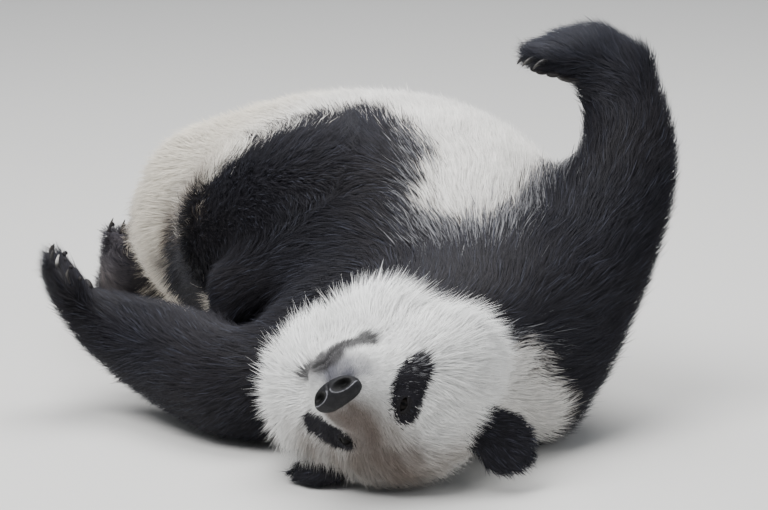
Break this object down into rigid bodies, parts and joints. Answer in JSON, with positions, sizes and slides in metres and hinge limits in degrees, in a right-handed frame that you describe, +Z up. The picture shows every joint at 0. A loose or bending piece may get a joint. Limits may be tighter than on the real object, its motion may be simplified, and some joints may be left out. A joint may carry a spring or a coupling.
{
  "type": "giant panda",
  "caption": "Life-size still model of a giant panda lying on its back, head to the viewer and one foreleg raised, in black and white fur.",
  "frame": {"origin": "on the floor, at the middle of the flat on which the back rests", "axes": "+X to the viewer's right, across the head; +Y away from the viewer, from head to rump; +Z up"},
  "size_m": [0.8209, 1.1874, 0.507],
  "materials": {
    "white_fur": "soft, thick coat",
    "black_fur": "soft, thick coat",
    "nose_leather": "moist, pebbled",
    "eye": "wet gloss",
    "claw": "horn"
  },
  "bodies": {
    "root": {"head": "white_fur", "nose": "nose_leather", "eye_left": "eye", "eye_right": "eye", "eye_patch_left": "black_fur", "eye_patch_right": "black_fur", "ear_left": "black_fur", "ear_right": "black_fur", "neck": "white_fur", "shoulders": "black_fur", "belly": "white_fur", "rump": "white_fur", "tail": "white_fur", "upper_arm_right": "black_fur", "forearm_right": "black_fur", "forepaw_right": "black_fur", "upper_arm_left": "black_fur", "forearm_left": "black_fur", "forepaw_left": "black_fur", "thigh_left": "black_fur", "shank_left": "black_fur", "hindpaw_left": "black_fur", "thigh_right": "black_fur", "shank_right": "black_fur", "hindpaw_right": "black_fur", "claw_forepaw_right_1": "claw", "claw_forepaw_right_2": "claw", "claw_forepaw_right_3": "claw", "claw_forepaw_right_4": "claw", "claw_forepaw_right_5": "claw", "claw_forepaw_left_1": "claw", "claw_forepaw_left_2": "claw", "claw_forepaw_left_3": "claw", "claw_forepaw_left_4": "claw", "claw_forepaw_left_5": "claw", "claw_hindpaw_left_1": "claw", "claw_hindpaw_left_2": "claw", "claw_hindpaw_left_3": "claw", "claw_hindpaw_left_4": "claw", "claw_hindpaw_left_5": "claw", "claw_hindpaw_right_1": "claw", "claw_hindpaw_right_2": "claw", "claw_hindpaw_right_3": "claw", "claw_hindpaw_right_4": "claw", "claw_hindpaw_right_5": "claw"}
  },
  "joints": []
}
